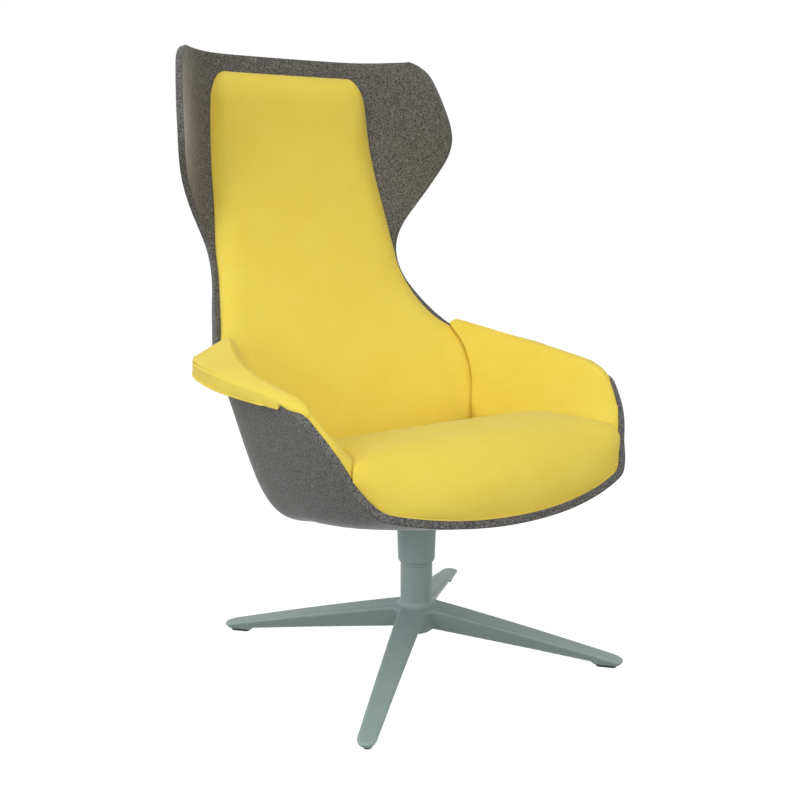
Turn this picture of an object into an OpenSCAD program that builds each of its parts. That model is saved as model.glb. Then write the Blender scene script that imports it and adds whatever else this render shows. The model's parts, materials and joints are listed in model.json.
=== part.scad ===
// Acoustic high back lounge chair on a four-star swivel base.
// A moulded felt shell carries a back pad, two arm pads and a seat cushion.
// Frame: origin on the floor under the column, +Z up, the sitter faces -Y
// and has the left arm at +X. Millimetres.

/* [Felt shell] */
// Thickness of the pressed felt sheet
felt_t = 12.5; // [11:0.5:14]

/* [Upholstery] */
// Thickness of the back pad at its top edge
back_pad_top = 30; // [26:1:34]
// Thickness of the back pad at the lumbar
back_pad_low = 50; // [46:1:54]
// Thickness of the arm pads where they meet the seat
arm_pad_low = 44; // [40:1:46]
// Thickness of the arm pads where they turn over the shell's edge
arm_pad_top = 17; // [15:1:19]
// Height of the fabric lap down the outside of each arm
arm_lap = 26; // [22:1:30]
// Highest point of the seat cushion above the floor
seat_crown_z = 452; // [446:1:456]
// Thickness of the fabric with its backing
cover_t = 1.2; // [1:0.1:1.6]

/* [Base] */
// Radius of the circle on which the glides stand
glide_circle_r = 346; // [320:2:360]
// Diameter of the base's column
column_d = 58.4; // [56:0.2:60]
// Height of the top of the base's column
column_top_z = 166; // [162:1:168]
// Width of a leg's flat top beside the hub
leg_root_w = 50; // [46:1:54]
// Width of a leg's flat top beside its tip
leg_tip_w = 33; // [30:1:36]
// Length of a glide
glide_len = 36; // [32:1:40]
// Width of a glide
glide_w = 14; // [12:1:16]

/* [Swivel] */
// Diameter of the spindle
spindle_d = 28; // [26:1:30]
// Wall of the plastic bushes
bush_wall = 3; // [2.5:0.5:3.5]
// Wall of the steel bearing tube
tube_wall = 3; // [2.5:0.5:3.5]
// Radial clearance between the spindle and its bushes
running_gap = 0.06; // [0.03:0.01:0.09]
// Diameter of the sleeve at its upper end
sleeve_top_d = 71; // [69:0.5:72]
// Diameter of the sleeve at its lower end
sleeve_low_d = 67; // [66:0.5:68]

/* [Seat mounting] */
// Side of the square mounting plate
plate_w = 190; // [180:2:200]
// Thickness of the mounting plate
plate_t = 5; // [4:0.5:6]
// Distance between neighbouring bolts
bolt_spacing = 140; // [130:2:150]
// Thread diameter of the plate bolts
bolt_d = 8; // [6:1:8]
// Thickness of the plywood seat board
board_t = 9; // [8:1:10]

/* [Hidden] */

felt_grey = [0.42, 0.41, 0.40];
cloth_yellow = [0.89, 0.78, 0.33];
foam_cream = [0.93, 0.90, 0.80];
coat_green_grey = [0.48, 0.54, 0.53];
steel_grey = [0.62, 0.63, 0.65];
plastic_black = [0.10, 0.10, 0.11];
ply_tan = [0.76, 0.62, 0.43];

// Mounting frame: on the shell's underside at the column's axis, tipped back
// with the seat pan. Heights in it are measured from the shell's inner face.
pan_z = 282;
pan_tilt = 9;
spacer_t = 4;
spacer_r = 13;
spacer_sink = 1.5;
plate_top_h = -felt_t - spacer_t;
plate_low_h = plate_top_h - plate_t;
board_low_h = 8;
board_top_h = board_low_h + board_t;
bolt_hole_r = bolt_d / 2 + 0.3;
module on_pan() {
    translate([0, 0, pan_z]) rotate([-pan_tilt, 0, 0]) children();
}

// Swivel stack, from the floor up
hub_low_z = 38;
plug_t = 2.5;
spindle_low_z = 43;
clip_z = 45;
clip_t = 1.6;
clip_groove = 1.5;
low_washer_z = clip_z + clip_t + 0.2;
low_washer_t = 2;
low_flange_z = low_washer_z + low_washer_t + 0.2;
flange_t = 3;
tube_low_z = low_flange_z + flange_t;
thrust_t = 2.3;
thrust_low_z = column_top_z - 1.9;
tube_top_z = thrust_low_z - 0.1 - flange_t;
collar_low_z = thrust_low_z + thrust_t + 0.1;
collar_top_z = 196;
sleeve_low_z = 172;
sleeve_wall = 3;
spindle_top_z = 252;
spindle_r = spindle_d / 2;
bush_in_r = spindle_r + running_gap;
bush_out_r = bush_in_r + bush_wall;
tube_out_r = bush_out_r + tube_wall;
column_r = column_d / 2;
collar_in_sleeve_r = sleeve_low_d / 2 - sleeve_wall;

// Legs of the base
leg_angles = [45, 135, 225, 315];
leg_tip_r = glide_circle_r + 29;
glide_t = 3;

// The shell's inner face is a family of cross-sections. Each one runs from
// the spine, in the plane x = 0, by way of a corner, to the rim. The station
// number u is 0 at the front edge of the seat, 5 where the arms meet the back
// and 10 at the top edge. A knot is [u, value] and the curves pass through it.
top_u = 10;
arm_end_u = 5;

// Spine of the shell: [y, z]
spine = [
    [0, [-311, 343]], [0.6, [-235, 322]], [1.2, [-150, 304]], [2, [-20, 285]],
    [2.8, [90, 270]], [3.4, [176, 284]], [4, [232, 362]], [5, [303, 480]],
    [6, [370, 588]], [7, [418, 690]], [8, [456, 800]], [9, [483, 930]],
    [10, [497, 1095]]
];

// Corner between the flat middle and the side: [x, y, z]
corner = [
    [0, [243, -266, 374]], [1, [243, -150, 332]], [2, [241, -15, 299]],
    [3, [231, 122, 275]], [4, [219, 219, 374]], [5, [200, 290, 495]],
    [6, [165, 366, 600]], [7, [152, 412, 690]], [8, [192, 446, 798]],
    [9, [216, 474, 930]], [10, [184, 485, 1095]]
];

// Rim of the shell: [x, y, z]
rim = [
    [0, [302, -163, 506]], [0.5, [306, -124, 516]], [1, [308, -85, 521]],
    [2, [309, 0, 528]], [3, [305, 90, 536]], [4, [292, 178, 545]],
    [4.6, [276, 232, 551]], [5, [261, 270, 556]], [5.5, [244, 316, 584]],
    [6, [229, 356, 618]], [6.5, [216, 386, 654]], [7, [211, 404, 692]],
    [7.4, [215, 410, 728]], [7.7, [228, 406, 762]], [8, [247, 390, 800]],
    [8.4, [270, 362, 850]], [8.8, [286, 329, 902]], [9, [289, 320, 938]],
    [9.2, [286, 330, 975]], [9.6, [274, 359, 1042]], [9.85, [263, 383, 1081]],
    [10, [247, 408, 1095]]
];

// Where the rounding of the corner starts and ends, as shares of the two sides
corner_round = [
    [0, [0.82, 0.28]], [1, [0.75, 0.35]], [3, [0.68, 0.42]], [4, [0.57, 0.57]],
    [6, [0.50, 0.70]], [8, [0.50, 0.75]], [9, [0.45, 0.85]], [10, [0.50, 0.65]]
];

// Smooth curve through knots, read at u
function knot_below(knots, u, i = 0) =
    i >= len(knots) - 2 || u < knots[i + 1][0] ? i : knot_below(knots, u, i + 1);
function knot_slope(knots, i) =
    let (a = knots[max(i - 1, 0)], b = knots[min(i + 1, len(knots) - 1)])
    (b[1] - a[1]) / (b[0] - a[0]);
function along(knots, u) =
    let (
        i = knot_below(knots, u),
        w = knots[i + 1][0] - knots[i][0],
        t = (u - knots[i][0]) / w,
        t2 = t * t,
        t3 = t2 * t
    )
    (2 * t3 - 3 * t2 + 1) * knots[i][1] + (t3 - 2 * t2 + t) * w * knot_slope(knots, i)
    + (3 * t2 - 2 * t3) * knots[i + 1][1] + (t3 - t2) * w * knot_slope(knots, i + 1);

function mix(a, b, t) = a + (b - a) * t;
function unit(v) = v / norm(v);
function eased(t) = let (c = min(max(t, 0), 1)) c * c * (3 - 2 * c);
function bend(a, b, c, t) = mix(mix(a, b, t), mix(b, c, t), t);
function flip_x(p) = [-p[0], p[1], p[2]];

// Point of the shell's inner face. s is 0 at the spine and 1 at the rim.
// The arm's front edge bulges forward by front_bulge.
front_bulge = 12;
round_from_s = 0.3;
round_to_s = 0.6;
function half_section(u, s) =
    let (
        yz = along(spine, u),
        c = along(corner, u),
        r = along(rim, u),
        share = along(corner_round, u),
        s0 = [0, yz[0], yz[1]],
        c0 = [c[0] / 2, yz[0], yz[1]],
        m1 = mix(c0, c, share[0]),
        m2 = mix(c, r, share[1])
    )
    s <= round_from_s ? bend(s0, c0, m1, s / round_from_s)
    : s <= round_to_s ? bend(m1, c, m2, (s - round_from_s) / (round_to_s - round_from_s))
    : let (t = (s - round_to_s) / (1 - round_to_s))
        mix(m2, r, t) - [0, front_bulge * sin(180 * t) * pow(max(1 - u, 0), 2), 0];
function shell_point(u, s) = s < 0 ? flip_x(half_section(u, -s)) : half_section(u, s);

// Direction from the shell's inner face towards the sitter
probe = 0.02;
function shell_normal(u, s) =
    let (
        u0 = max(u - probe, 0),
        u1 = min(u + probe, top_u),
        s0 = max(s - probe, -1),
        s1 = min(s + probe, 1)
    )
    unit(cross(shell_point(u, s1) - shell_point(u, s0), shell_point(u1, s) - shell_point(u0, s)));

// Point at height h above the inner face, towards the sitter
function over_shell(u, s, h) = shell_point(u, s) + h * shell_normal(u, s);

// Share s at which the section at u has the half width x
function s_at_x(u, x, lo = 0, hi = 1, n = 12) =
    n == 0 ? (lo + hi) / 2
    : half_section(u, (lo + hi) / 2)[0] < x ? s_at_x(u, x, (lo + hi) / 2, hi, n - 1)
    : s_at_x(u, x, lo, (lo + hi) / 2, n - 1);

// Solid between two grids of points with the same rows and columns
module solid_between(top, base) {
    rows = len(top);
    cols = len(top[0]);
    n = rows * cols;
    points = concat([for (row = top) each row], [for (row = base) each row]);
    top_faces = [
        for (i = [0:rows - 2], j = [0:cols - 2])
            let (a = i * cols + j)
            each [[a, a + cols + 1, a + 1], [a, a + cols, a + cols + 1]]
    ];
    base_faces = [for (f = top_faces) [f[2] + n, f[1] + n, f[0] + n]];
    edge = concat(
        [for (j = [0:cols - 2]) j],
        [for (i = [0:rows - 2]) i * cols + cols - 1],
        [for (j = [cols - 1:-1:1]) (rows - 1) * cols + j],
        [for (i = [rows - 1:-1:1]) i * cols]
    );
    side_faces = [
        for (k = [0:len(edge) - 1])
            let (a = edge[k], b = edge[(k + 1) % len(edge)])
            each [[a, b, a + n], [b, b + n, a + n]]
    ];
    polyhedron(points, concat(top_faces, base_faces, side_faces), convexity = 8);
}

// Steps from -1 to 1, or 0 to 1, packed closer towards the ends
function packed(n) = [for (i = [0:n]) -cos(180 * i / n)];
function packed_unit(n) = [for (v = packed(n)) (v + 1) / 2];

// ---- Felt shell ----
shell_rows = 58;
shell_cols = 13;
shell_s = [for (j = [-shell_cols:shell_cols]) j / shell_cols];
shell_u = [for (i = [0:shell_rows]) top_u * i / shell_rows];

// The four mounting bolts pass through the shell's flat middle
module at_bolts() {
    for (x = [-1, 1], y = [-1, 1]) translate([x, y, 0] * bolt_spacing / 2) children();
}

module felt_shell() {
    color(felt_grey)
    difference() {
        solid_between(
            [for (u = shell_u) [for (s = shell_s) over_shell(u, s, 0)]],
            [for (u = shell_u) [for (s = shell_s) over_shell(u, s, -felt_t)]]
        );
        on_pan() at_bolts() {
            translate([0, 0, -20]) cylinder(h = 30, r = bolt_hole_r, $fn = 32);
            // Flat seat in the curved underside for a spacer
            translate([0, 0, plate_top_h]) cylinder(h = spacer_t + spacer_sink, r = spacer_r + 0.3, $fn = 24);
        }
    }
}

// ---- Back pad ----
// Behind each pad lie its fixing pads, its board and then its foam
fixing_h = [0.3, 2.3];
board_h = [2.6, 5.6];
foam_h = 6;
foam_shrink = 1.5;
skin_gap = 0.3;
edge_h = 1.5;
cover_grow = cover_t + skin_gap;

// Rounded edge of a pad: 0 at v = -1 and 1, and 1 once past the depth. A
// higher power makes the rounding tighter.
function edge_share(v, depth, power = 2) =
    let (e = min((1 - abs(v)) / depth, 1))
    pow(max(1 - pow(1 - e, power), 0), 1 / power);

// Seam between the back pad and each arm pad, as a curve in s and u
seam_low = [3.36, 0.56];
seam_high = [4.96, 0.96];
seam_bow = 1.05;
seam_gap = 0.012;
function seam_s(u) =
    let (t = min(max((u - seam_low[0]) / (seam_high[0] - seam_low[0]), 0), 1))
    mix(seam_low[1], seam_high[1], pow(t, seam_bow));
function seam_u(s) =
    let (t = min(max((s - seam_low[1]) / (seam_high[1] - seam_low[1]), 0), 1))
    mix(seam_low[0], seam_high[0], pow(t, 1 / seam_bow));

// Half width of the back pad above the arms
back_half_w = [
    [5, 257], [5.5, 236], [6, 220], [6.5, 208], [7, 203], [7.5, 203], [8, 197],
    [9, 186], [9.7, 177], [10, 172]
];
back_low_u = 3.3;
back_top_u = 9.8;
back_corner_u = 0.36;
back_corner_cut = 0.26;
function back_edge_s(u) =
    u <= arm_end_u ? seam_s(u) - seam_gap
    : s_at_x(u, along(back_half_w, u)) - seam_gap;

// The pad's rounded upper corners narrow its last rows
function corner_cut(u) =
    let (d = min(max(u - (back_top_u - back_corner_u), 0) / back_corner_u, 1))
    back_corner_cut * (1 - sqrt(1 - d * d));

function back_thick(u) = mix(back_pad_low, back_pad_top, min(max((u - 5) / 4, 0), 1));

// Front of the back pad at w across, -1 to 1, grown by g. Up to arc_full_u it
// is an arc from edge to edge, and above arc_none_u it keeps level over the
// shell. The pad is thinner at its edges, as back_edge_h says: [u, height].
back_edge_h = [[3.3, 28], [3.9, 33], [4.3, 37], [4.8, 29], [5.5, 24], [7, 22], [9.8, 22]];
arc_full_u = 5.4;
arc_none_u = 9;
arc_power = 1.8;
function back_front(u, w, wide, g) =
    let (
        h = back_thick(u) + g,
        edge_h = between(back_edge_h, u) + g,
        level = over_shell(u, w * wide, mix(h, edge_h, pow(w, 4))),
        middle = over_shell(u, 0, h),
        edge = over_shell(u, wide, edge_h),
        deep = 1 - pow(1 - pow(abs(w), arc_power), 1 / arc_power),
        arc = [w * edge[0], mix(middle[1], edge[1], deep), mix(middle[2], edge[2], deep)]
    )
    mix(arc, level, eased((u - arc_full_u) / (arc_none_u - arc_full_u)));

// Grid over the back pad: from low_h at its edges to its thickness plus grow,
// or all at low_h where full is 0. The inset draws the edges in.
function back_grid(rows, cols, low_h, grow, inset, full = 1) = [
    for (v = packed_unit(rows))
        let (
            u = mix(back_low_u + inset, back_top_u - inset, v),
            wide = (back_edge_s(u) - inset) * (1 - corner_cut(u + inset)),
            rise = full * edge_share(2 * v - 1, v < 0.5 ? 0.06 : 0.1),
            depth = mix(0.07, 0.16, min(max(u - 4.4, 0), 1))
        )
        [for (w = packed(cols))
            mix(
                over_shell(u, w * wide, low_h),
                back_front(u, w, wide, grow),
                rise * edge_share(w, depth, 2.5)
            )]
];

// Strip of the shell's surface between two heights
module strip_over_shell(u0, u1, s0, s1, h, n) {
    us = [for (i = [0:n]) mix(u0, u1, i / n)];
    ss = [for (j = [0:n]) mix(s0, s1, j / n)];
    solid_between(
        [for (u = us) [for (s = ss) over_shell(u, s, h[1])]],
        [for (u = us) [for (s = ss) over_shell(u, s, h[0])]]
    );
}

module back_board() {
    color(plastic_black) strip_over_shell(3.7, 9.5, -0.3, 0.3, board_h, 14);
}
module back_fixing_pads() {
    color(plastic_black)
    for (u = [4.4, 6.0, 7.6, 9.0]) strip_over_shell(u, u + 0.25, -0.12, 0.12, fixing_h, 3);
}

module back_foam() {
    color(foam_cream)
    solid_between(
        back_grid(20, 14, foam_h + 1, -foam_shrink, 0.03),
        back_grid(20, 14, foam_h, 0, 0.03, 0)
    );
}

module back_cover() {
    color(cloth_yellow)
    solid_between(
        back_grid(30, 20, edge_h, cover_grow, 0),
        back_grid(30, 20, edge_h, skin_gap, 0.012)
    );
}

// ---- Arm pads ----
// Each arm pad lines the inside of an arm and laps over the shell's edge.
// Its section is measured at the rim: p towards the sitter, q upwards along
// the side. A knot is [u, [inner edge p, q, outer edge p, q, lap end p, q]].
arm_front_u = 0.02;
arm_rear_u = 4.96;
arm_top_q = 9;
lap_q = arm_top_q + 2 - arm_lap;
lap_step_u = [0.70, 0.74];
arm_shape = [
    [0.02, [11, -4, 2, -5, 1.5, -8]], [0.08, [12, 4, 0, 3.5, -1, 0.5]],
    [0.15, [12, 8, -3, 7, -3.5, 0.5]], [0.3, [12, arm_top_q, -8, 7, -8.5, 0.5]],
    [0.5, [12, arm_top_q, -11, 7, -12.5, 0.5]],
    [lap_step_u[0], [12, arm_top_q, -12, 7, -13.2, 0.5]],
    [lap_step_u[1], [12, arm_top_q, -12, 8, -17, lap_q + 7.5]],
    [1, [12, arm_top_q, -12, 8, -18, lap_q + 4]],
    [2, [12, arm_top_q, -22, 8, -27, lap_q - 3]],
    [3, [arm_pad_top, arm_top_q, -36, 7, -44, lap_q - 5]],
    [4, [arm_pad_top + 8, arm_top_q - 1, -45, 3, -55, lap_q - 6]],
    [4.5, [arm_pad_top + 12, arm_top_q - 2, -47, 5, -58, lap_q - 5]],
    [4.85, [arm_pad_top + 12, arm_top_q - 3, -43, 6, -50, lap_q - 2]],
    [4.96, [arm_pad_top + 10, arm_top_q - 4, -34, 6, -38, lap_q + 6]]
];
function between(knots, u) =
    let (i = knot_below(knots, u), a = knots[i], b = knots[i + 1])
    mix(a[1], b[1], min(max((u - a[0]) / (b[0] - a[0]), 0), 1));

// Lower edge of the pad, hidden behind the seat cushion, and its thickness there
arm_low_s = [[0, 0.64], [1, 0.59], [2.5, 0.55], [3.3, 0.507], [5, 0.507]];
function arm_low_thick(u) =
    let (t = min(max((u - arm_front_u) / 0.9, 0), 1))
    mix(14, arm_pad_low, 1 - (1 - t) * (1 - t));

// Point given by p and q in the frame of the rim at u
function at_rim(u, pq) =
    let (up = unit(shell_point(u, 1) - shell_point(u, 0.9)))
    shell_point(u, 1) + pq[0] * shell_normal(u, 1) + pq[1] * up;

// Point at height h above the arm's flat side, kept level below it
function over_side(u, s, h) = shell_point(u, s) + h * shell_normal(u, max(s, 0.66));

// Corner at b between a and c, rounded off over the distance d
function corner_arc(a, b, c, d) =
    let (
        from = mix(b, a, min(d / norm(a - b), 0.48)),
        to = mix(b, c, min(d / norm(c - b), 0.48))
    )
    [for (t = [0, 1/3, 2/3, 1]) bend(from, b, to, t)];

face_cols = 7;
tail_cols = 11;
// Outer skin of the arm pad at u, grown by g
function arm_skin(u, g) =
    let (
        shape = between(arm_shape, u),
        inner = [shape[0] + g, shape[1] + g],
        outer = [shape[2] - g, shape[3] + g],
        low = [shape[4] - g, shape[5]],
        tail = concat(
            corner_arc(inner - [0, 40], inner, outer, 12),
            corner_arc(inner, outer, low, 9),
            corner_arc(outer, low, low + [8, 0], 3)
        ),
        low_s = between(arm_low_s, u) + 0.004 * (cover_grow - g),
        thick = arm_low_thick(u) + g
    )
    concat(
        [for (i = [0:face_cols - 1])
            let (t = i / face_cols, soft = edge_share(1 - min(t * 6, 1), 1))
            over_side(u, mix(low_s, 0.93, t), mix(edge_h, mix(thick, inner[0], t), soft))],
        [for (pq = tail) at_rim(u, pq)]
    );

// Back of the arm pad at u: h clear of the shell's inner face, and rim_gap
// clear of its rim and of its outer face
rim_gap = 0.5;
function arm_back(u, h) =
    let (
        shape = between(arm_shape, u),
        over = min(max((-felt_t - 1 - shape[4]) / 2, 0), 1),
        top_q = mix(min(rim_gap, shape[5] - 0.2), rim_gap, over),
        over_rim = [mix(min(h - 0.5, shape[4] + 1.5), -felt_t - rim_gap, over), top_q],
        end = mix(over_rim - [1, 0], [over_rim[0], shape[5] + 0.2], over),
        down = tail_cols - 4,
        tail = concat(
            [[h, min(0, top_q) - 0.5], [h, top_q]],
            [for (i = [1:3]) mix([h, top_q], over_rim, i / 3)],
            [for (i = [1:down]) mix(over_rim, end, i / down)]
        )
    )
    concat(
        [for (i = [0:face_cols - 1]) over_side(u, mix(between(arm_low_s, u), 0.97, i / face_cols), h)],
        [for (pq = tail) at_rim(u, pq)]
    );

// Rows of the grid, two of them at the step where the lap begins
function arm_rows(n) =
    let (step = [for (u = lap_step_u) (u - arm_front_u) / (arm_rear_u - arm_front_u)])
    concat(
        [for (v = packed_unit(n)) if (v < step[0]) v],
        step,
        [for (v = packed_unit(n)) if (v > step[1]) v]
    );

// Grid over the arm pad: the skin grown by g, closed onto the back at its ends
function arm_grid(n, g, h, inset, full = 1) = [
    for (v = arm_rows(n))
        let (share = full * edge_share(2 * v - 1, 0.07))
        [for (j = [0:face_cols + tail_cols])
            let (
                s = mix(between(arm_low_s, 5 * v), 1, min(j / face_cols, 1)),
                u = mix(arm_front_u + inset, min(seam_u(s), arm_rear_u) - inset, v)
            )
            mix(arm_back(u, h)[j], arm_skin(u, g)[j], share)]
];

module arm_board() {
    color(plastic_black) strip_over_shell(1.0, 3.2, 0.7, 0.9, board_h, 6);
}
module arm_fixing_pads() {
    color(plastic_black)
    for (u = [1.2, 2.0, 2.8]) strip_over_shell(u, u + 0.2, 0.74, 0.86, fixing_h, 2);
}
module arm_foam() {
    foam_inset = 0.1;
    color(foam_cream)
    solid_between(
        arm_grid(16, -foam_shrink, foam_h, foam_inset),
        arm_grid(16, 0, foam_h, foam_inset, 0)
    );
}
module arm_cover() {
    color(cloth_yellow)
    solid_between(
        arm_grid(22, cover_grow, edge_h - 0.3, 0.01),
        arm_grid(22, skin_gap, edge_h, 0.02)
    );
}
module on_right() {
    mirror([1, 0, 0]) children();
}

// ---- Seat cushion ----
// The cushion fills the bucket from its front edge to the back pad. Its base
// lies on the shell and its top is dished at the rear and crowned in front.
seat_front_u = 0.03;
seat_rear_u = 3.05;
seat_rear_y = 163;
seat_front_w = 262;
seat_mid_w = 231;
seat_base_w = 230;
seat_ridge_y = -139;
seat_side_drop = 10;
seat_center_slope = 0.345;
seat_side_slope = 0.21;

// Fall of the top over the distance t behind the ridge, with a rounded start
function fall(slope, t) = slope * t * t / (t + 25);
function seat_top_z(x, y) =
    let (t = max(y - seat_ridge_y, 0), side = min(pow(abs(x) / seat_mid_w, 3), 1.2))
    seat_crown_z - mix(fall(seat_center_slope, t), seat_side_drop + fall(seat_side_slope, t), side);

// Half width of the cushion's top at y
seat_rear_taper = 9;
function seat_half_w(y) =
    mix(seat_mid_w, seat_front_w, pow(min(max((seat_ridge_y - y) / 95, 0), 1), 1.2))
    - seat_rear_taper * min(max(y / 130, 0), 1);

// Point of the base for a across and b from front to back, both -1 to 1
function seat_low(a, b, gap, inset) =
    let (
        u = mix(seat_front_u + inset, seat_rear_u - inset, (b + 1) / 2),
        w = mix(seat_front_w, seat_base_w, min(u / 0.7, 1)) - seat_rear_taper * max(u - 2, 0) - 60 * inset
    )
    over_shell(u, sign(a) * s_at_x(u, abs(a) * w), gap);

function seat_high(a, b, grow) =
    let (
        front_y = seat_low(a, -1, 0, 0)[1],
        x0 = a * seat_mid_w,
        rear_y = seat_rear_y - 38 * pow(a, 4),
        y = mix(front_y, rear_y, (b + 1) / 2),
        x = a * (seat_half_w(y) + grow)
    )
    [x, y, seat_top_z(x, y) + grow];

function seat_grid(cols, rows, gap, grow, inset, full = 1) = [
    for (b = packed(rows))
        [for (a = packed(cols))
            mix(
                seat_low(a, b, gap, inset),
                seat_high(a, b, grow),
                full * edge_share(a, mix(0.08, 0.05, max(-b, 0)), 3)
                * edge_share(b, b < 0 ? mix(0.5, 0.1, pow(a, 4)) : 0.1)
            )]
];

seat_board_y = -30;
seat_board_size = [280, 270];
seat_board_r = 40;
module rounded_rect(w, d, r) {
    square([w - 2 * r, d], center = true);
    square([w, d - 2 * r], center = true);
    for (x = [-1, 1], y = [-1, 1])
        translate([x * (w / 2 - r), y * (d / 2 - r)]) circle(r = r, $fn = 64);
}
module seat_board() {
    color(ply_tan)
    difference() {
        on_pan() translate([0, seat_board_y, board_low_h]) linear_extrude(board_t)
            rounded_rect(seat_board_size[0], seat_board_size[1], seat_board_r);
        on_pan() at_bolts() translate([0, 0, board_low_h - 1]) cylinder(h = board_t + 2, r = 5, $fn = 32);
    }
}

module seat_foam() {
    color(foam_cream)
    difference() {
        solid_between(
            seat_grid(18, 16, 3.5, -foam_shrink, 0.02),
            seat_grid(18, 16, 2.5, 0, 0.02, 0)
        );
        on_pan() translate([0, seat_board_y, -30]) linear_extrude(30 + board_top_h + 2.5)
            rounded_rect(seat_board_size[0] + 2, seat_board_size[1] + 2, seat_board_r + 1);
    }
}

module seat_cover() {
    color(cloth_yellow)
    solid_between(
        seat_grid(22, 20, edge_h, cover_grow, 0),
        seat_grid(22, 20, edge_h + 0.2, skin_gap, 0.01)
    );
}

// ---- Seat mounting ----
module mounting_plate() {
    color(steel_grey)
    difference() {
        on_pan() translate([0, 0, plate_low_h]) linear_extrude(plate_t)
            rounded_rect(plate_w, plate_w, 18);
        on_pan() at_bolts() translate([0, 0, plate_low_h - 1]) cylinder(h = plate_t + 2, r = bolt_hole_r, $fn = 32);
    }
}
module ring(r_out, r_in, z, h) {
    translate([0, 0, z])
    difference() {
        cylinder(h = h, r = r_out, $fn = 64);
        translate([0, 0, -1]) cylinder(h = h + 2, r = r_in, $fn = 64);
    }
}
module plate_spacers() {
    color(plastic_black)
    on_pan() at_bolts() ring(spacer_r, bolt_hole_r, plate_top_h, spacer_t + spacer_sink);
}
module plate_washers() {
    color(steel_grey) on_pan() at_bolts() ring(bolt_d, bolt_hole_r, plate_low_h - 1.6, 1.6);
}
module plate_bolts() {
    color(steel_grey)
    on_pan() at_bolts() translate([0, 0, plate_low_h - 1.6]) {
        difference() {
            translate([0, 0, -5]) cylinder(h = 5, r = bolt_d * 0.8, $fn = 32);
            translate([0, 0, -6]) cylinder(h = 3.5, r = bolt_d * 0.35, $fn = 6);
        }
        cylinder(h = 1.6 + plate_t + spacer_t + felt_t + board_top_h - 1, r = bolt_d / 2, $fn = 32);
    }
}
module tee_nuts() {
    color(steel_grey)
    on_pan() at_bolts() {
        ring(4.9, bolt_d / 2 + 0.02, board_low_h + 1, board_t - 1);
        ring(11, bolt_d / 2 + 0.02, board_top_h, 1.5);
    }
}

// ---- Swivel ----
module below_plate() {
    difference() {
        children();
        on_pan() translate([-200, -200, plate_low_h]) cube([400, 400, 100]);
    }
}
module spindle() {
    color(steel_grey)
    difference() {
        translate([0, 0, spindle_low_z]) cylinder(h = spindle_top_z - spindle_low_z, r = spindle_r, $fn = 64);
        ring(spindle_r + 1, spindle_r - clip_groove, clip_z - 0.1, clip_t + 0.2);
    }
}
module spindle_hub() {
    color(steel_grey)
    below_plate() difference() {
        translate([0, 0, 226]) cylinder(h = 50, r = 25, $fn = 64);
        translate([0, 0, 225]) cylinder(h = spindle_top_z - 225 + 0.5, r = spindle_r, $fn = 64);
    }
}
module spindle_collar() {
    color(coat_green_grey) {
        ring(column_r, spindle_r, collar_low_z, sleeve_low_z - collar_low_z);
        ring(collar_in_sleeve_r, spindle_r, sleeve_low_z, collar_top_z - sleeve_low_z);
    }
}
module column_sleeve() {
    sleeve_h = 110;
    chamfer = 1.6;
    low_r = sleeve_low_d / 2;
    top_r = sleeve_top_d / 2 + 1.5;
    color(coat_green_grey)
    below_plate() translate([0, 0, sleeve_low_z]) difference() {
        union() {
            cylinder(h = 3, r1 = low_r - chamfer, r2 = low_r, $fn = 96);
            translate([0, 0, 3]) cylinder(h = sleeve_h - 3, r1 = low_r, r2 = top_r, $fn = 96);
        }
        translate([0, 0, -1]) cylinder(h = sleeve_h + 2, r = collar_in_sleeve_r, $fn = 96);
    }
}
module thrust_washer() {
    color(plastic_black) ring(tube_out_r - 0.4, bush_in_r + 0.2, thrust_low_z, thrust_t);
}
module upper_bush() {
    color(plastic_black) {
        ring(bush_out_r, bush_in_r, tube_top_z - 40, 40);
        ring(tube_out_r, bush_in_r, tube_top_z, flange_t);
    }
}
module lower_bush() {
    color(plastic_black) {
        ring(bush_out_r, bush_in_r, tube_low_z, 40);
        ring(tube_out_r, bush_in_r, low_flange_z, flange_t);
    }
}
module bearing_tube() {
    color(steel_grey) ring(tube_out_r, bush_out_r, tube_low_z, tube_top_z - tube_low_z);
}
module retaining_washer() {
    color(steel_grey) ring(tube_out_r - 1, bush_in_r + 0.2, low_washer_z, low_washer_t);
}
module retaining_ring() {
    color(steel_grey)
    difference() {
        ring(spindle_r + 3, spindle_r - clip_groove + 0.05, clip_z, clip_t);
        translate([0, -3, clip_z - 1]) cube([30, 6, clip_t + 2]);
    }
}

// ---- Base ----
function leg_top_z(r) = 93.9 - 0.1844 * r - 0.0000717 * r * r;
foot_in_r = glide_circle_r - 21;
foot_out_r = glide_circle_r + 20;
function leg_low_z(r) =
    r < foot_in_r - 6 ? 44 - 0.1125 * r
    : r < foot_in_r ? mix(44 - 0.1125 * (foot_in_r - 6), glide_t, (r - foot_in_r + 6) / 6)
    : r <= foot_out_r ? glide_t
    : mix(glide_t, leg_top_z(leg_tip_r) - 4, (r - foot_out_r) / (leg_tip_r - foot_out_r));
leg_round_r = 18;
function leg_half_w(r) =
    mix(leg_root_w / 2, leg_tip_w / 2, min(max((r - 63) / (glide_circle_r - 63), 0), 1))
    * sqrt(1 - pow(max(r - (leg_tip_r - leg_round_r), 0) / (leg_round_r + 1), 2));
function leg_low_half_w(r) =
    min(mix(6, glide_w / 2 + 1.5, min(max((r - 200) / 125, 0), 1)), leg_half_w(r) - 0.4);
leg_stations = concat(
    [12, 40, 63, 105, 157, 210, 262, foot_in_r - 6, foot_in_r, glide_circle_r],
    [for (t = [0, 0.44, 0.72, 0.9, 1]) leg_tip_r - leg_round_r * (1 - t)],
);

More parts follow.
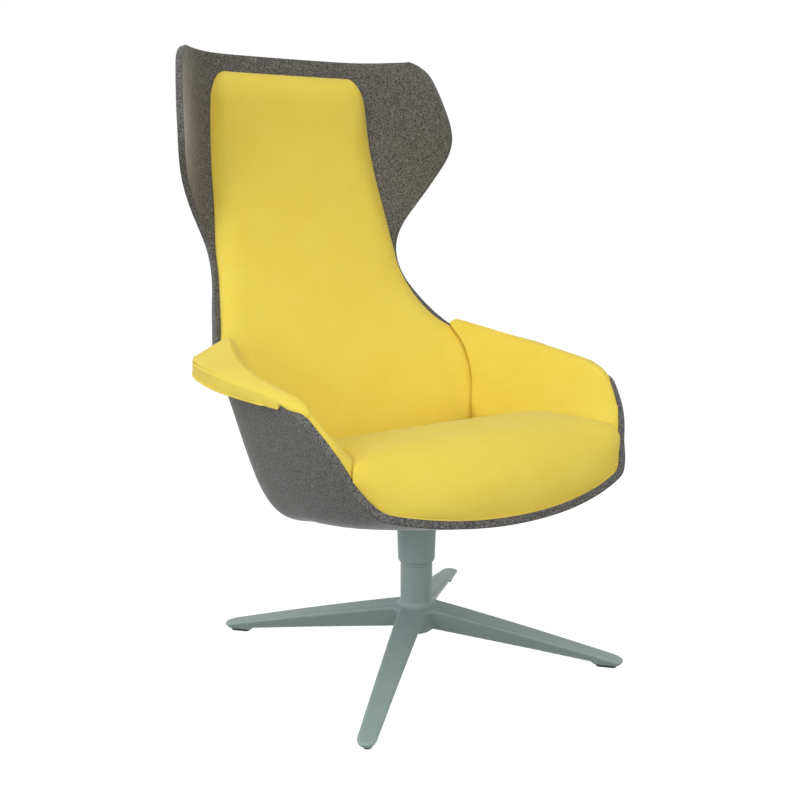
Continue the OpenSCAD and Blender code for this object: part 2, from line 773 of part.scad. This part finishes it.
// Arc of radius r about [p, q] in the plane of a section
function round_off(p, q, r, a0, a1, n) =
    [for (i = [0:n]) let (a = mix(a0, a1, i / n)) [p + r * cos(a), q + r * sin(a)]];

// Section of a leg: flat top with rounded edges, sides drawn in below
function leg_section(r) =
    let (
        wt = leg_half_w(r),
        wb = leg_low_half_w(r),
        zt = leg_top_z(r),
        zb = leg_low_z(r),
        e = min(4, 0.4 * (zt - zb), 0.5 * wt),
        e_low = min(2.5, 0.5 * wb),
        half = concat(
            [[0, zt]],
            round_off(wt - e, zt - e, e, 90, -20, 3),
            round_off(wb - e_low, zb + e_low, e_low, -20, -90, 2),
            [[0, zb]]
        )
    )
    concat(half, [for (i = [len(half) - 2:-1:1]) [-half[i][0], half[i][1]]]);

// Solid through closed sections, a list of rings with equal point counts
module loft(rings) {
    n = len(rings[0]);
    last = len(rings) - 1;
    polyhedron(
        [for (ring = rings) each ring],
        concat(
            [for (i = [0:last - 1], j = [0:n - 1])
                let (k = (j + 1) % n)
                each [
                    [i * n + j, i * n + k, (i + 1) * n + k],
                    [i * n + j, (i + 1) * n + k, (i + 1) * n + j]
                ]],
            [[for (j = [n - 1:-1:0]) j], [for (j = [0:n - 1]) last * n + j]]
        )
    );
}

module leg() {
    loft([for (r = leg_stations) [for (yz = leg_section(r)) [r, yz[0], yz[1]]]]);
}

// Concave web between two neighbouring legs
function web_ring(hw, r, z) = concat(
    [[0, 0, z], [hw + r, 0, z]],
    [for (i = [0:6]) let (a = 270 - 15 * i) [hw + r + r * cos(a), hw + r + r * sin(a), z]],
    [[0, hw + r, z]]
);
module web() {
    loft([web_ring(24, 17, leg_top_z(40) - 3), web_ring(7, 24, 42)]);
}

module star_base() {
    fillet_r = 15;
    fillet_sink = 0.8;
    fillet_z = leg_top_z(column_r + fillet_r) - fillet_sink;
    color(coat_green_grey)
    difference() {
        union() {
            for (a = leg_angles) rotate(a) {
                leg();
                web();
            }
            translate([0, 0, hub_low_z]) cylinder(h = column_top_z - hub_low_z, r = column_r, $fn = 96);
            rotate_extrude($fn = 96)
            translate([column_r - 1, fillet_z]) difference() {
                translate([0, -6]) square([fillet_r + 1, fillet_r + 6]);
                translate([fillet_r + 1, fillet_r]) circle(r = fillet_r, $fn = 48);
            }
        }
        translate([0, 0, hub_low_z - 1]) cylinder(h = 200, r = tube_out_r, $fn = 64);
        translate([0, 0, hub_low_z - 1]) cylinder(h = 1 + plug_t + 1, r = tube_out_r + 2, $fn = 64);
        for (a = leg_angles) rotate(a) translate([glide_circle_r, 0, 0]) cylinder(h = 13, r = 2, $fn = 24);
    }
}
module base_plug() {
    color(plastic_black) translate([0, 0, hub_low_z]) cylinder(h = plug_t, r = tube_out_r + 1.9, $fn = 64);
}
module glide(a) {
    color(plastic_black)
    rotate(a) translate([glide_circle_r, 0, 0])
    difference() {
        union() {
            for (x = [-1, 1] * (glide_len - glide_w) / 2)
                translate([x, 0, 0]) cylinder(h = glide_t, r = glide_w / 2, $fn = 48);
            translate([-(glide_len - glide_w) / 2, -glide_w / 2, 0]) cube([glide_len - glide_w, glide_w, glide_t]);
        }
        translate([0, 0, -1]) cylinder(h = 6, r = 2.1, $fn = 24);
        translate([0, 0, -1]) cylinder(h = 2.4, r = 4, $fn = 24);
    }
}
module glide_front_left() { glide(315); }
module glide_front_right() { glide(225); }
module glide_rear_left() { glide(45); }
module glide_rear_right() { glide(135); }
module glide_pins() {
    color(steel_grey)
    for (a = leg_angles) rotate(a) translate([glide_circle_r, 0, 0]) {
        translate([0, 0, 0.6]) cylinder(h = 0.8, r = 3.8, $fn = 24);
        translate([0, 0, 0.6]) cylinder(h = 12, r = 1.95, $fn = 24);
    }
}

module left_arm_board() { arm_board(); }
module left_arm_fixing_pads() { arm_fixing_pads(); }
module left_arm_foam() { arm_foam(); }
module left_arm_cover() { arm_cover(); }
module right_arm_board() { on_right() arm_board(); }
module right_arm_fixing_pads() { on_right() arm_fixing_pads(); }
module right_arm_foam() { on_right() arm_foam(); }
module right_arm_cover() { on_right() arm_cover(); }

star_base();
glide_front_left();
glide_front_right();
glide_rear_left();
glide_rear_right();
glide_pins();
bearing_tube();
lower_bush();
upper_bush();
thrust_washer();
base_plug();
spindle();
spindle_hub();
spindle_collar();
retaining_washer();
retaining_ring();
column_sleeve();
mounting_plate();
plate_spacers();
plate_washers();
plate_bolts();
tee_nuts();
felt_shell();
seat_board();
seat_foam();
seat_cover();
back_board();
back_fixing_pads();
back_foam();
back_cover();
left_arm_board();
left_arm_fixing_pads();
left_arm_foam();
left_arm_cover();
right_arm_board();
right_arm_fixing_pads();
right_arm_foam();
right_arm_cover();
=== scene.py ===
import json
import math

import bpy
import numpy as np
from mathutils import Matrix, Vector


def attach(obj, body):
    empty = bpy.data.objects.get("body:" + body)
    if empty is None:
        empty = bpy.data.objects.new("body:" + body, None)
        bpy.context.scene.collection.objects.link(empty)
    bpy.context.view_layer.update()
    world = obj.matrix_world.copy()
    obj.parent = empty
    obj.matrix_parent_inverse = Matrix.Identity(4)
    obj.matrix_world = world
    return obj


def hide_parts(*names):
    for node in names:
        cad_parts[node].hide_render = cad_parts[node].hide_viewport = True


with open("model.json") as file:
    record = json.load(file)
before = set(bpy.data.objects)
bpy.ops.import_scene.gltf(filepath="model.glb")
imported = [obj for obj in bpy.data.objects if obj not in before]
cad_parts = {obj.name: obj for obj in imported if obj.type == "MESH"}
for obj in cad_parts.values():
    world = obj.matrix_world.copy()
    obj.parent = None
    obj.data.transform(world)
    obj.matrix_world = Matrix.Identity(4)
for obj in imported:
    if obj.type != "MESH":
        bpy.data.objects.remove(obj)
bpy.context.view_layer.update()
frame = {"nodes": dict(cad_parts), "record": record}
nodes = frame["nodes"]

# Sizes in metres, angles in degrees
MERGE = 0.00002  # Loose corners of a CAD mesh closer than this are one
FLAT_PAIR = 60  # Most bend between two triangles that make one quad
QUAD_SKEW = 70  # Most skew of such a quad
SHARP = 58  # An edge of the felt that bends more is a cut edge
CUT_FACE = 0.0007  # Largest face of the felt's cut edge, in square metres
CUT_ROUND = 0.0012  # Rounding of the felt's cut edge
WELT = 78  # Most bend within the outer side of a cover
CLOTH_THICK = 0.0012
PRESSURE = 4.0
LAST_TICK = 20
EVEN_OUT = 12  # Rounds of smoothing over the swelling
PAD_SWELL = 0.003  # Most swelling of the seat and back
ARM_SWELL = 0.001  # Most swelling of the arm pads
CAST_GRAIN = 0.002  # Voxel of the casting's surface
SMOOTH_LEVELS = 2  # Subdivision levels


# ---- Bench tools ----
def pick(piece):
    bpy.ops.object.select_all(action="DESELECT")
    piece.select_set(True)
    bpy.context.view_layer.objects.active = piece


def edit(piece, mode):
    pick(piece)
    bpy.ops.object.mode_set(mode="EDIT")
    bpy.ops.mesh.select_mode(type=mode)
    bpy.ops.mesh.select_all(action="DESELECT")
    bpy.ops.object.mode_set(mode="OBJECT")


def in_edit(piece, *steps):
    """Runs each step in edit mode on what is selected."""
    pick(piece)
    bpy.ops.object.mode_set(mode="EDIT")
    for step in steps:
        step()
    bpy.ops.object.mode_set(mode="OBJECT")


def copy_node(node, name):
    """A merged copy of a CAD node, to be shaped into a finished piece."""
    piece = nodes[node].copy()
    piece.data = nodes[node].data.copy()
    piece.name = piece.data.name = name
    piece.parent = None
    for key in list(piece.keys()):
        del piece[key]
    bpy.context.scene.collection.objects.link(piece)
    pick(piece)
    if piece.data.has_custom_normals:
        bpy.ops.mesh.customdata_custom_splitnormals_clear()
    edit(piece, "VERT")
    in_edit(
        piece,
        lambda: bpy.ops.mesh.select_all(action="SELECT"),
        lambda: bpy.ops.mesh.remove_doubles(threshold=MERGE),
        lambda: bpy.ops.mesh.tris_convert_to_quads(
            face_threshold=math.radians(FLAT_PAIR), shape_threshold=math.radians(QUAD_SKEW)
        ),
        lambda: bpy.ops.mesh.select_all(action="DESELECT"),
    )
    return piece


def face_angles(piece):
    """For each edge of the mesh, its faces and the angle between them."""
    mesh = piece.data
    sides = {}
    for face in mesh.polygons:
        for key in face.edge_keys:
            sides.setdefault(key, []).append(face.index)
    bends = {}
    for key, pair in sides.items():
        if len(pair) == 2:
            a, b = (mesh.polygons[i].normal for i in pair)
            bends[key] = (pair, math.degrees(a.angle(b, 0)))
    return bends


def finish_with(piece, kind, **settings):
    """Adds a modifier with these settings and applies it."""
    modifier = piece.modifiers.new(kind.lower(), kind)
    for key, value in settings.items():
        setattr(modifier, key, value)
    pick(piece)
    bpy.ops.object.modifier_apply(modifier=modifier.name)


def smooth_through(piece, share, rounds):
    """Subdivides the mesh and brings the smooth surface back to its own points by this share."""
    mesh = piece.data
    aim = [v.co.copy() for v in mesh.vertices]
    modifier = piece.modifiers.new("smooth", "SUBSURF")
    modifier.levels = modifier.render_levels = SMOOTH_LEVELS
    for _ in range(rounds):
        finished = piece.evaluated_get(bpy.context.evaluated_depsgraph_get()).to_mesh()
        misses = [want - finished.vertices[i].co for i, want in enumerate(aim)]
        for v, miss in zip(mesh.vertices, misses):
            v.co += share * miss
        mesh.update()
    pick(piece)
    bpy.ops.object.modifier_apply(modifier=modifier.name)


def smooth_shade(piece):
    pick(piece)
    bpy.ops.object.shade_smooth()


def push(piece, spot, reach, move):
    """Moves what lies near a spot, less the further it is from it, alike on both sides."""
    for v in piece.data.vertices:
        for side in (1, -1):
            away = (v.co - Vector((side * spot[0], spot[1], spot[2]))).length / reach
            if away < 1:
                v.co += Vector((side * move[0], move[1], move[2])) * (1 - away**2) ** 2


def dress(piece, *materials):
    piece.data.materials.clear()
    for material in materials:
        piece.data.materials.append(material)


# ---- Shader building ----
def new_group(name, inputs, outputs):
    group = bpy.data.node_groups.new(name, "ShaderNodeTree")
    for label, kind, value in inputs:
        socket = group.interface.new_socket(label, in_out="INPUT", socket_type=kind)
        if value is not None:
            socket.default_value = value
    for label, kind in outputs:
        group.interface.new_socket(label, in_out="OUTPUT", socket_type=kind)
    return group, group.nodes.new("NodeGroupInput"), group.nodes.new("NodeGroupOutput")


def wire(tree, node, **links):
    """Sets sockets of a node, by a value or by another node's socket."""
    for label, source in links.items():
        numbered = label[0] == "i" and label[1:].isdigit()
        socket = node.inputs[int(label[1:])] if numbered else node.inputs[label]
        if isinstance(source, bpy.types.NodeSocket):
            tree.links.new(source, socket)
        else:
            socket.default_value = source
    return node


def maths(tree, operation, a, b=0.0):
    node = tree.nodes.new("ShaderNodeMath")
    node.operation = operation
    wire(tree, node, i0=a, i1=b)
    return node.outputs[0]


def noise(tree, vector, scale, detail=2.0, roughness=0.5):
    node = tree.nodes.new("ShaderNodeTexNoise")
    wire(tree, node, Vector=vector, Scale=scale, Detail=detail, Roughness=roughness)
    return node.outputs["Fac"]


def ramp(tree, value, low, high):
    """Value mapped from low..high to 0..1, clamped and softened."""
    node = tree.nodes.new("ShaderNodeMapRange")
    node.interpolation_type = "SMOOTHSTEP"
    wire(tree, node, i0=value, i1=low, i2=high, i3=0.0, i4=1.0)
    return node.outputs[0]


def blend_colour(tree, share, a, b):
    node = tree.nodes.new("ShaderNodeMix")
    node.data_type = "RGBA"
    wire(tree, node, i0=share, i6=a, i7=b)
    return node.outputs[2]


def shine_through(tree):
    """1 for rays from the camera, a reflection or glass, and 0 for light on the chair."""
    paths = tree.nodes.new("ShaderNodeLightPath")
    glossy = paths.outputs["Is Glossy Ray"]
    clear = paths.outputs["Is Transmission Ray"]
    return maths(tree, "MAXIMUM", paths.outputs["Is Camera Ray"], maths(tree, "MAXIMUM", glossy, clear))


def make_speckle_group():
    """Fine and coarse flecks of a mixed fibre or a coated surface."""
    group, given, made = new_group(
        "flecks",
        [
            ("Vector", "NodeSocketVector", None),
            ("Fine", "NodeSocketFloat", 700.0),
            ("Coarse", "NodeSocketFloat", 120.0),
        ],
        [(label, "NodeSocketFloat") for label in ("Light", "Dark", "Cloud", "Mottle", "Height")],
    )
    here = given.outputs["Vector"]
    fine = noise(group, here, given.outputs["Fine"], 3.0, 0.65)
    bend = group.nodes.new("ShaderNodeVectorMath")
    bend.operation = "MULTIPLY"
    bend.inputs[1].default_value = (0.7, 1.0, 0.85)
    group.links.new(here, bend.inputs[0])
    strands = noise(group, bend.outputs[0], given.outputs["Fine"], 2.0, 0.6)
    cloud = noise(group, here, given.outputs["Coarse"], 4.0, 0.6)
    half = maths(group, "MULTIPLY", given.outputs["Fine"], 0.55)
    mottle = noise(group, here, half, 3.0, 0.7)
    group.links.new(ramp(group, strands, 0.51, 0.64), made.inputs["Light"])
    group.links.new(ramp(group, fine, 0.49, 0.37), made.inputs["Dark"])
    group.links.new(ramp(group, cloud, 0.32, 0.68), made.inputs["Cloud"])
    group.links.new(ramp(group, mottle, 0.36, 0.64), made.inputs["Mottle"])
    relief = maths(group, "ADD", maths(group, "MULTIPLY", fine, 0.6), maths(group, "MULTIPLY", strands, 0.4))
    group.links.new(relief, made.inputs["Height"])
    return group


def make_weave_group():
    """Plain weave: threads pass over and under each other."""
    group, given, made = new_group(
        "weave",
        [("Vector", "NodeSocketVector", None), ("Threads", "NodeSocketFloat", 700.0)],
        [("Height", "NodeSocketFloat"), ("Gap", "NodeSocketFloat")],
    )
    split = group.nodes.new("ShaderNodeSeparateXYZ")
    group.links.new(given.outputs["Vector"], split.inputs[0])
    across = maths(group, "MULTIPLY", split.outputs[0], given.outputs["Threads"])
    along = maths(group, "MULTIPLY", split.outputs[1], given.outputs["Threads"])
    warp = maths(group, "ABSOLUTE", maths(group, "SINE", maths(group, "MULTIPLY", across, math.pi)))
    weft = maths(group, "ABSOLUTE", maths(group, "SINE", maths(group, "MULTIPLY", along, math.pi)))
    crossing = maths(group, "ADD", maths(group, "FLOOR", across), maths(group, "FLOOR", along))
    parity = maths(group, "PINGPONG", crossing, 1.0)
    over = group.nodes.new("ShaderNodeMix")
    wire(group, over, i0=parity, i2=warp, i3=weft)
    height = over.outputs[0]
    group.links.new(height, made.inputs["Height"])
    # Gap is high in the holes between the threads; the cloth paints shade there.
    group.links.new(ramp(group, maths(group, "MULTIPLY", warp, weft), 0.35, 0.0), made.inputs["Gap"])
    return group


flecks = make_speckle_group()
weave = make_weave_group()


def place_group(tree, group, **links):
    node = tree.nodes.new("ShaderNodeGroup")
    node.node_tree = group
    return wire(tree, node, **links)


def new_material(name, **constants):
    material = bpy.data.materials.new(name)
    material.use_nodes = True
    tree = material.node_tree
    surface = tree.nodes["Principled BSDF"]
    for label, value in constants.items():
        surface.inputs[label.replace("_", " ")].default_value = value
    where = tree.nodes.new("ShaderNodeTexCoord")
    return material, tree, surface, where


def bump(tree, surface, height, strength, distance):
    node = tree.nodes.new("ShaderNodeBump")
    wire(tree, node, Height=height, Strength=strength, Distance=distance)
    tree.links.new(node.outputs[0], surface.inputs["Normal"])


def srgb(*channels):
    """Linear colour of screen values over 10."""
    return tuple(((c / 255 + 0.055) / 1.055) ** 2.4 for c in channels) + (1.0,)


def make_felt(name, dark, mid, light, share, relief):
    material, tree, surface, where = new_material(
        name, Roughness=0.8, Specular_IOR_Level=0.25, Sheen_Weight=0.55, Sheen_Roughness=0.3
    )
    spots = place_group(tree, flecks, Vector=where.outputs["Object"], Fine=540.0, Coarse=45.0)
    ground = blend_colour(tree, spots.outputs["Cloud"], mid, tuple(0.86 * c for c in mid[:3]) + (1.0,))
    matted = blend_colour(tree, maths(tree, "MULTIPLY", spots.outputs["Mottle"], 0.85), ground, dark)
    deep = blend_colour(tree, maths(tree, "MULTIPLY", spots.outputs["Dark"], share), matted, dark)
    colour = blend_colour(tree, maths(tree, "MULTIPLY", spots.outputs["Light"], share), deep, light)
    tree.links.new(colour, surface.inputs["Base Color"])
    bump(tree, surface, spots.outputs["Height"], relief, 0.0006)
    return material


felt = make_felt("pressed_felt", srgb(38, 38, 38), srgb(115, 113, 110), srgb(157, 154, 150), 0.58, 0.28)
# The cut edge takes a slightly lighter, plainer copy of the felt: a painted highlight for the light the edge
# catches.
felt_edge = make_felt("felt_cut_edge", srgb(46, 46, 46), srgb(118, 117, 116), srgb(156, 155, 153), 0.5, 0.08)


def make_cloth():
    material, tree, surface, where = new_material(
        "wool_cloth", Roughness=0.85, Specular_IOR_Level=0.25, Sheen_Weight=0.2, Sheen_Roughness=0.4
    )
    surface.inputs["Sheen Tint"].default_value = srgb(255, 248, 222)
    threads = place_group(tree, weave, Vector=where.outputs["UV"], Threads=900.0)
    spots = place_group(tree, flecks, Vector=where.outputs["Object"], Fine=900.0, Coarse=14.0)
    ground = blend_colour(tree, spots.outputs["Cloud"], srgb(239, 213, 84), srgb(241, 217, 91))
    fluff = maths(tree, "MULTIPLY", spots.outputs["Light"], 0.2)
    pale = blend_colour(tree, fluff, ground, srgb(248, 230, 122))
    # Painted shade: the holes between the threads are darkened towards a deeper orange-yellow.
    gap = maths(tree, "MULTIPLY", threads.outputs["Gap"], 0.15)
    deep = blend_colour(tree, gap, pale, srgb(229, 193, 58))
    tree.links.new(deep, surface.inputs["Base Color"])
    fuzz = maths(tree, "MULTIPLY", spots.outputs["Height"], 0.5)
    bump(tree, surface, maths(tree, "ADD", threads.outputs["Height"], fuzz), 0.3, 0.0004)
    return material


cloth = make_cloth()


def make_coat():
    material, tree, surface, where = new_material("powder_coat", Roughness=0.5, Specular_IOR_Level=0.5)
    spots = place_group(tree, flecks, Vector=where.outputs["Object"], Fine=1400.0, Coarse=25.0)
    colour = blend_colour(tree, spots.outputs["Cloud"], srgb(145, 165, 161), srgb(149, 169, 165))
    tree.links.new(colour, surface.inputs["Base Color"])
    rough = maths(tree, "ADD", 0.42, maths(tree, "MULTIPLY", spots.outputs["Cloud"], 0.08))
    tree.links.new(rough, surface.inputs["Roughness"])
    bump(tree, surface, spots.outputs["Height"], 0.25, 0.0002)
    return material


def make_plain(name, colour, rough, metal, fine, depth):
    material, tree, surface, where = new_material(name, Metallic=metal)
    spots = place_group(tree, flecks, Vector=where.outputs["Object"], Fine=fine, Coarse=60.0)
    darker = tuple(0.8 * c for c in colour[:3]) + (1.0,)
    stained = blend_colour(tree, spots.outputs["Cloud"], colour, darker)
    tree.links.new(stained, surface.inputs["Base Color"])
    worn = maths(tree, "ADD", rough, maths(tree, "MULTIPLY", spots.outputs["Dark"], 0.15))
    tree.links.new(worn, surface.inputs["Roughness"])
    bump(tree, surface, spots.outputs["Height"], 0.3, depth)
    return material


coat = make_coat()
black = make_plain("black_plastic", srgb(34, 34, 35), 0.5, 0.0, 1200.0, 0.0002)
zinc = make_plain("zinc_plate", srgb(176, 178, 180), 0.32, 1.0, 900.0, 0.0001)
plywood = make_plain("birch_plywood", srgb(196, 160, 112), 0.6, 0.0, 300.0, 0.0003)
foam = make_plain("moulded_foam", srgb(236, 226, 196), 0.9, 0.0, 500.0, 0.0006)
finishes = {
    "felt": felt,
    "upholstery": cloth,
    "foam": foam,
    "powder_coat": coat,
    "steel": zinc,
    "black_plastic": black,
    "plywood": plywood,
}
slots = {s["node"]: s["material_slot"] for s in frame["record"]["subparts"]}
for node, part in nodes.items():
    dress(part, finishes[slots[node]])


# ---- Felt shell ----
def make_shell():
    shell = copy_node("felt_shell", "shell_felt")
    dress(shell, felt, felt_edge)
    sharp = {key: pair for key, (pair, bend) in face_angles(shell).items() if bend > SHARP}
    edges_of = {}
    for pair in sharp.values():
        for face in pair:
            edges_of[face] = edges_of.get(face, 0) + 1
    for face in shell.data.polygons:
        # Faces of the cut edge get the lighter felt, a painted highlight.
        cut = edges_of.get(face.index, 0) >= 2 and face.area < CUT_FACE
        face.material_index = 1 if cut else 0
    edit(shell, "EDGE")
    for edge in shell.data.edges:
        edge.select = edge.key in sharp
    in_edit(shell, lambda: bpy.ops.transform.edge_crease(value=1.0))
    smooth_through(shell, share=0.5, rounds=1)
    bends = face_angles(shell)
    edit(shell, "EDGE")
    for edge in shell.data.edges:
        edge.select = edge.key in bends and bends[edge.key][1] > SHARP
    in_edit(shell, lambda: bpy.ops.mesh.bevel(offset=CUT_ROUND, segments=2))
    smooth_shade(shell)
    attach(shell, "seat")
    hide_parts("felt_shell")


# ---- Cushions ----
def outer_skin(node, name, seed):
    """Copy of a cover with only the side that faces out, as an open sheet."""
    piece = copy_node(node, name)
    mesh = piece.data
    start = min(mesh.polygons, key=lambda f: (f.center - Vector(seed)).length).index
    near = {}
    for pair, bend in face_angles(piece).values():
        if bend < WELT:
            near.setdefault(pair[0], []).append(pair[1])
            near.setdefault(pair[1], []).append(pair[0])
    kept, queue = {start}, [start]
    while queue:
        for other in near.get(queue.pop(), []):
            if other not in kept:
                kept.add(other)
                queue.append(other)
    edit(piece, "FACE")
    for face in mesh.polygons:
        face.select = face.index not in kept
    in_edit(piece, lambda: bpy.ops.mesh.delete(type="FACE"))
    return piece


def hem_of(piece):
    """Vertices of the sheet's open edge."""
    uses = {}
    for face in piece.data.polygons:
        for key in face.edge_keys:
            uses[key] = uses.get(key, 0) + 1
    return sorted({v for key, n in uses.items() if n == 1 for v in key})


def lay_out_cloth(piece):
    """Unwraps the sheet and scales its UV map to metres."""
    edit(piece, "FACE")
    in_edit(
        piece,
        lambda: bpy.ops.mesh.select_all(action="SELECT"),
        lambda: bpy.ops.uv.unwrap(method="CONFORMAL", margin=0.0),
    )
    mesh = piece.data
    uv = mesh.uv_layers.active.data
    flat = 0.0
    for face in mesh.polygons:
        pts = [uv[i].uv for i in face.loop_indices]
        flat += 0.5 * abs(sum(p.x * q.y - q.x * p.y for p, q in zip(pts, pts[1:] + pts[:1])))
    scale = math.sqrt(sum(f.area for f in mesh.polygons) / flat)
    for loop in uv:
        loop.uv = loop.uv * scale


def even_out(rise, edges, fixed):
    """Spreads the swelling over neighbouring vertices, and leaves the hem where it is."""
    links = np.bincount(edges.ravel(), minlength=len(rise))
    for _ in range(EVEN_OUT):
        rise[fixed] = 0
        ahead = np.bincount(edges[:, 0], rise[edges[:, 1]], len(rise))
        behind = np.bincount(edges[:, 1], rise[edges[:, 0]], len(rise))
        near = ahead + behind
        rise = 0.5 * rise + 0.5 * near / np.maximum(links, 1)
    rise[fixed] = 0
    return rise


def swell(piece, cap):
    """Blows the sheet out like cloth over foam, by no more than cap and evenly spread."""
    mesh = piece.data
    rest = [v.co.copy() for v in mesh.vertices]
    normals = [v.normal.copy() for v in mesh.vertices]
    edges = np.array([e.vertices[:] for e in mesh.edges])
    fixed = hem_of(piece)
    hem = piece.vertex_groups.new(name="hem")
    hem.add(fixed, 1.0, "REPLACE")
    scene = bpy.context.scene
    cloth_rig = piece.modifiers.new("swell", "CLOTH")
    cloth_rig.settings.quality = 5
    cloth_rig.settings.use_pressure = True
    cloth_rig.settings.uniform_pressure_force = PRESSURE
    cloth_rig.settings.vertex_group_mass = "hem"
    cloth_rig.settings.effector_weights.gravity = 0.0
    cloth_rig.collision_settings.use_collision = False
    cloth_rig.point_cache.frame_start = 1
    cloth_rig.point_cache.frame_end = LAST_TICK
    for tick in range(1, LAST_TICK + 1):
        scene.frame_set(tick)
    pick(piece)
    bpy.ops.object.modifier_apply(modifier="swell")
    scene.frame_set(1)
    rise = np.array([(v.co - was).dot(n) for v, was, n in zip(mesh.vertices, rest, normals)])
    rise = even_out(np.clip(rise, -cap, cap), edges, fixed)
    for v, was, n, h in zip(mesh.vertices, rest, normals, rise):
        v.co = was + n * float(h)
    piece.vertex_groups.clear()


def make_cushion(name, cover, filling, seed, cap):
    """A cushion's cloth, from its cover's outer side near the seed."""
    piece = outer_skin(cover, name, seed)
    smooth_through(piece, share=0.9, rounds=3)
    lay_out_cloth(piece)
    swell(piece, cap)
    finish_with(piece, "SOLIDIFY", thickness=CLOTH_THICK, offset=-1.0)
    dress(piece, cloth)
    smooth_shade(piece)
    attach(piece, "seat")
    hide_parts(cover, filling)
    return piece


make_shell()
seat = make_cushion("seat_cushion", "seat_cover", "seat_foam", (0, -0.12, 0.46), PAD_SWELL)
push(seat, (0.254, -0.232, 0.418), 0.045, (0.006, 0, 0))
make_cushion("back_cushion", "back_cover", "back_foam", (0, 0.38, 0.8), PAD_SWELL)
make_cushion("arm_pad_left", "left_arm_cover", "left_arm_foam", (0.25, 0, 0.5), ARM_SWELL)
make_cushion("arm_pad_right", "right_arm_cover", "right_arm_foam", (-0.25, 0, 0.5), ARM_SWELL)


# ---- Base ----
def make_base():
    base = copy_node("star_base", "base_casting")
    finish_with(base, "REMESH", mode="VOXEL", voxel_size=CAST_GRAIN)
    finish_with(base, "SMOOTH", factor=0.5, iterations=4)
    dress(base, coat)
    smooth_shade(base)
    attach(base, "base")
    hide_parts("star_base")


make_base()


# ---- Floor, camera and light ----
def stage_floor():
    bpy.ops.object.select_all(action="DESELECT")
    bpy.ops.mesh.primitive_circle_add(vertices=96, radius=30, fill_type="NGON", location=(0, 0, 0))
    floor = bpy.context.active_object
    floor.name = "floor"
    material = bpy.data.materials.new("pale_floor")
    material.use_nodes = True
    tree = material.node_tree
    surface = tree.nodes["Principled BSDF"]
    surface.inputs["Base Color"].default_value = (0.25, 0.25, 0.25, 1)
    surface.inputs["Roughness"].default_value = 1.0
    surface.inputs["Specular IOR Level"].default_value = 0.0
    surface.inputs["Emission Color"].default_value = (1, 1, 1, 1)
    glow = maths(tree, "MULTIPLY", shine_through(tree), 0.94)
    tree.links.new(glow, surface.inputs["Emission Strength"])
    dress(floor, material)


def stage_world():
    world = bpy.data.worlds.new("studio")
    bpy.context.scene.world = world
    world.use_nodes = True
    tree = world.node_tree
    sky = tree.nodes["Background"]
    sky.inputs["Color"].default_value = (1, 1, 1, 1)
    strength = maths(tree, "ADD", 0.4, maths(tree, "MULTIPLY", shine_through(tree), 0.6))
    tree.links.new(strength, sky.inputs["Strength"])


def add_light(name, place, aim, size, power, colour):
    bpy.ops.object.light_add(type="AREA", location=place)
    lamp = bpy.context.active_object
    lamp.name = name
    lamp.data.shape = "DISK"
    lamp.data.size = size
    lamp.data.energy = power
    lamp.data.color = colour
    lamp.rotation_euler = (Vector(aim) - Vector(place)).to_track_quat("-Z", "Y").to_euler()


def stage_camera():
    bpy.ops.object.camera_add(location=(-0.9608, -1.4735, 0.8286))
    camera = bpy.context.active_object
    camera.rotation_euler = (math.radians(90 - 11.587), 0, math.radians(-32.131))
    camera.data.lens = 45.77
    camera.data.sensor_width = 36
    camera.data.clip_end = 100
    bpy.context.scene.camera = camera


stage_floor()
stage_world()
stage_camera()
warm = (1.0, 0.975, 0.92)
cool = (0.94, 0.98, 1.0)
add_light("overhead", (-1.0, -1.2, 2.8), (0, 0, 0.6), 2.6, 33, warm)
add_light("left", (-2.8, -0.8, 1.3), (0, 0, 0.6), 1.6, 21, cool)
add_light("front", (-1.4, -3.2, 1.4), (0, 0, 0.5), 1.6, 14, warm)
add_light("fill", (1.6, -2.2, 1.0), (0, 0, 0.5), 2.0, 11, warm)
add_light("rim", (-2.2, 1.3, 1.0), (0, 0, 0.5), 1.0, 11, cool)
bpy.context.scene.view_settings.view_transform = "Standard"
